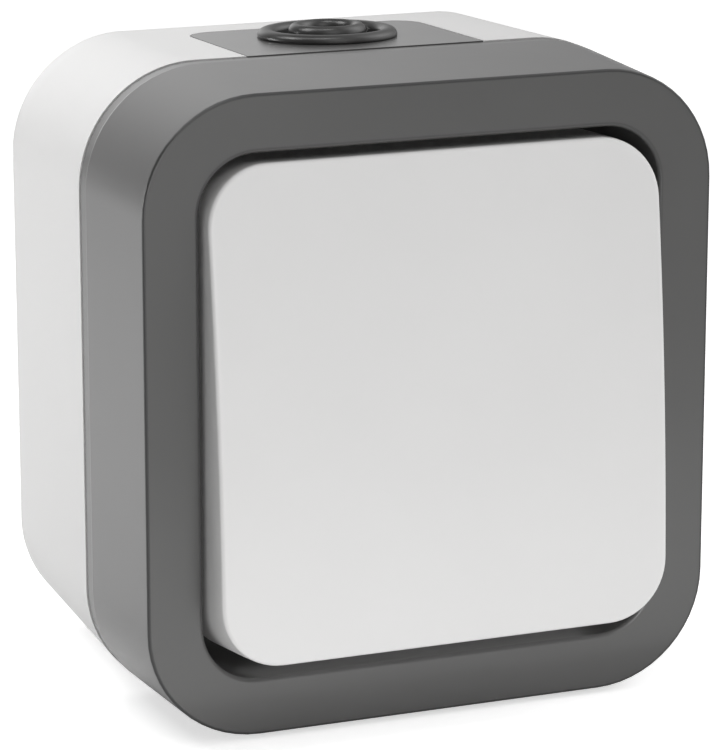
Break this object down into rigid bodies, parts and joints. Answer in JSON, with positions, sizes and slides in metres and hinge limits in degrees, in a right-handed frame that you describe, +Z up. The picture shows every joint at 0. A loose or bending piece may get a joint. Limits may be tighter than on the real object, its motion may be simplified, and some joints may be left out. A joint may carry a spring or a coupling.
{
  "type": "surface-mounted weatherproof rocker switch",
  "caption": "Surface-mounted outdoor switch: drafted wall box, dark front frame, large tilting rocker, rubber cable gland and a complete change-over contact mechanism.",
  "frame": {"origin": "middle of the back face, which lies on the wall", "axes": "+X to the right seen from the front, +Y into the wall, +Z up; the rocker faces -Y"},
  "size_m": [0.0672, 0.0515, 0.0729],
  "materials": {
    "shell_grey": "fine satin moulding",
    "frame_grey": "fine satin moulding",
    "rocker_grey": "fine satin moulding",
    "entry_grey": "fine satin moulding",
    "gland_black": "glossy soft rubber",
    "seal_black": "matt soft rubber",
    "insert_white": "satin moulding",
    "cradle_grey": "satin moulding",
    "zinc_steel": "zinc plated",
    "spring_steel": "bright drawn wire",
    "brass": "plain brass",
    "copper_strip": "bright copper alloy",
    "silver_contact": "silver contact face"
  },
  "bodies": {
    "housing": {"back_box": "shell_grey", "cover_frame": "frame_grey", "top_entry_plate": "entry_grey", "bottom_entry_plate": "entry_grey", "cable_gland": "gland_black", "housing_seal": "seal_black", "cover_screws": "zinc_steel", "insert_base": "insert_white", "insert_cover": "insert_white", "insert_screws": "zinc_steel", "mechanism_gasket": "seal_black", "common_terminal": "copper_strip", "upper_contact_strip": "copper_strip", "lower_contact_strip": "copper_strip", "fixed_contacts": "silver_contact", "terminal_clamps": "zinc_steel", "terminal_springs": "spring_steel", "earth_clamp": "brass", "earth_springs": "spring_steel"},
    "rocker": {"rocker": "rocker_grey", "rocker_cradle": "cradle_grey", "plunger_spring": "spring_steel"},
    "plunger": {"plunger": "insert_white"},
    "contact_lever": {"contact_lever": "copper_strip", "lever_contacts": "silver_contact"}
  },
  "joints": [
    {"name": "rocker_hinge", "type": "hinge", "parent": "housing", "child": "rocker", "pos_m": [0, -0.0381, 0], "axis": [1, 0, 0], "range_deg": [0, 9.54]},
    {"name": "lever_hinge", "type": "hinge", "parent": "housing", "child": "contact_lever", "pos_m": [0, -0.02, 0], "axis": [1, 0, 0], "range_deg": [-18, 0]},
    {"name": "plunger_slide", "type": "slide", "parent": "rocker", "child": "plunger", "axis": [0, 0.9965, -0.0832], "range_m": [-0.0012, 0], "stiffness_N_per_m": 400, "springref_m": 0.002, "deforming": ["plunger_spring"]}
  ],
  "couplings": [
    {"joint": "lever_hinge", "follows": "rocker_hinge", "ratio": -1.8868}
  ]
}
